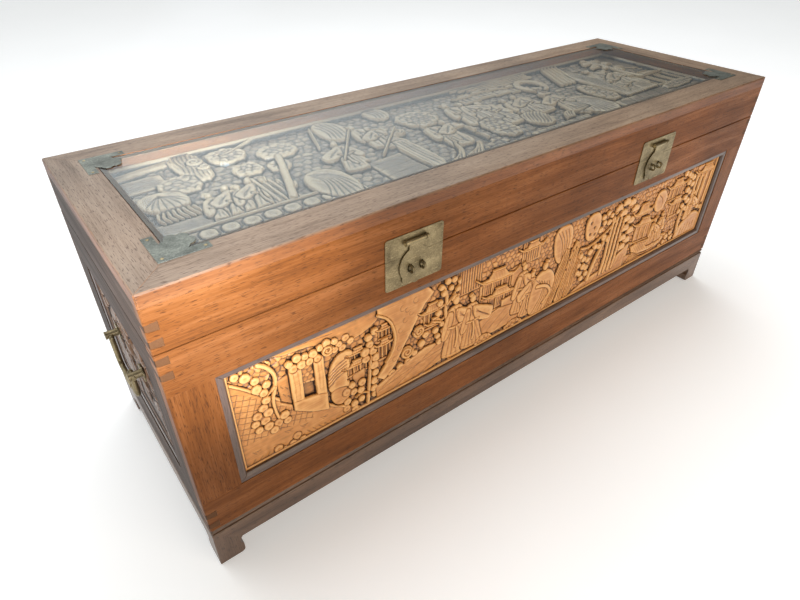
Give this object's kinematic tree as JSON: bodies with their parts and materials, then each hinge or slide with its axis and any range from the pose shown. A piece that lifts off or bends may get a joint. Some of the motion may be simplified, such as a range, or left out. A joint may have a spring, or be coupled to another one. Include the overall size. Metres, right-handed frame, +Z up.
{
  "type": "wooden chest",
  "caption": "Long low wooden chest on a hoof-footed stand, with a glazed carved lid, a carved front panel, two brass hasps and drop handles.",
  "frame": {"origin": "on the floor under the middle of the whole chest, fittings included", "axes": "+X to the chest's right as seen from the front, +Y from front to back, +Z up; the carved front faces -Y"},
  "size_m": [1.18, 0.4007, 0.4464],
  "materials": {
    "front_wood": "satin varnish, warm red-brown, straight open grain",
    "side_wood": "satin varnish, dark brown",
    "stand_wood": "satin varnish, dark brown",
    "top_wood": "worn satin varnish, grey-brown",
    "carved_wood": "deep relief carving, honey-orange varnish with dark hollows",
    "carved_top_wood": "deep relief carving, pale grey-beige with dark hollows",
    "brass": "aged, dull olive-brown",
    "glass": "clear, slightly green at the edges"
  },
  "bodies": {
    "carcase": {"front_top_rail": "front_wood", "front_bottom_rail": "front_wood", "front_left_stile": "front_wood", "front_right_stile": "front_wood", "front_carved_panel": "carved_wood", "front_moulding": "stand_wood", "left_end_rails": "side_wood", "left_end_stiles": "side_wood", "left_end_panel": "carved_wood", "left_end_moulding": "stand_wood", "right_end_rails": "side_wood", "right_end_stiles": "side_wood", "right_end_panel": "carved_wood", "right_end_moulding": "stand_wood", "back_boards": "side_wood", "bottom_boards": "side_wood", "waist_moulding": "stand_wood", "front_apron": "stand_wood", "back_apron": "stand_wood", "left_apron": "stand_wood", "right_apron": "stand_wood", "front_left_leg": "stand_wood", "front_right_leg": "stand_wood", "back_left_leg": "stand_wood", "back_right_leg": "stand_wood", "left_lower_lock_plate": "brass", "right_lower_lock_plate": "brass", "left_lock_staples": "brass", "right_lock_staples": "brass", "lock_plate_nails": "brass", "lower_hinge_leaves": "brass", "hinge_pins": "brass", "lower_hinge_screws": "brass", "left_handle_posts": "brass", "right_handle_posts": "brass"},
    "lid": {"lid_front_board": "front_wood", "lid_back_board": "side_wood", "lid_left_board": "side_wood", "lid_right_board": "side_wood", "top_frame_front": "top_wood", "top_frame_back": "top_wood", "top_frame_left": "top_wood", "top_frame_right": "top_wood", "carved_top_panel": "carved_top_wood", "glass_pane": "glass", "front_left_bracket": "brass", "front_right_bracket": "brass", "back_left_bracket": "brass", "back_right_bracket": "brass", "lid_nails": "brass", "left_upper_lock_plate": "brass", "right_upper_lock_plate": "brass", "hasp_pins": "brass", "upper_hinge_leaves": "brass", "upper_hinge_screws": "brass"},
    "left_hasp": {"left_hasp": "brass"},
    "right_hasp": {"right_hasp": "brass"},
    "left_bail": {"left_bail": "brass"},
    "right_bail": {"right_bail": "brass"}
  },
  "joints": [
    {"name": "lid_hinge", "type": "hinge", "parent": "carcase", "child": "lid", "pos_m": [0, 0.19635, 0.37225], "axis": [-1, 0, 0], "range_deg": [0, 95]},
    {"name": "left_hasp_hinge", "type": "hinge", "parent": "lid", "child": "left_hasp", "pos_m": [-0.255, -0.19245, 0.392], "axis": [-1, 0, 0], "range_deg": [0, 160]},
    {"name": "right_hasp_hinge", "type": "hinge", "parent": "lid", "child": "right_hasp", "pos_m": [0.255, -0.19245, 0.392], "axis": [-1, 0, 0], "range_deg": [0, 160]},
    {"name": "left_bail_hinge", "type": "hinge", "parent": "carcase", "child": "left_bail", "pos_m": [-0.584, 0.00195, 0.245], "axis": [0, 1, 0], "range_deg": [-8, 165]},
    {"name": "right_bail_hinge", "type": "hinge", "parent": "carcase", "child": "right_bail", "pos_m": [0.584, 0.00195, 0.245], "axis": [0, -1, 0], "range_deg": [-8, 165]}
  ]
}
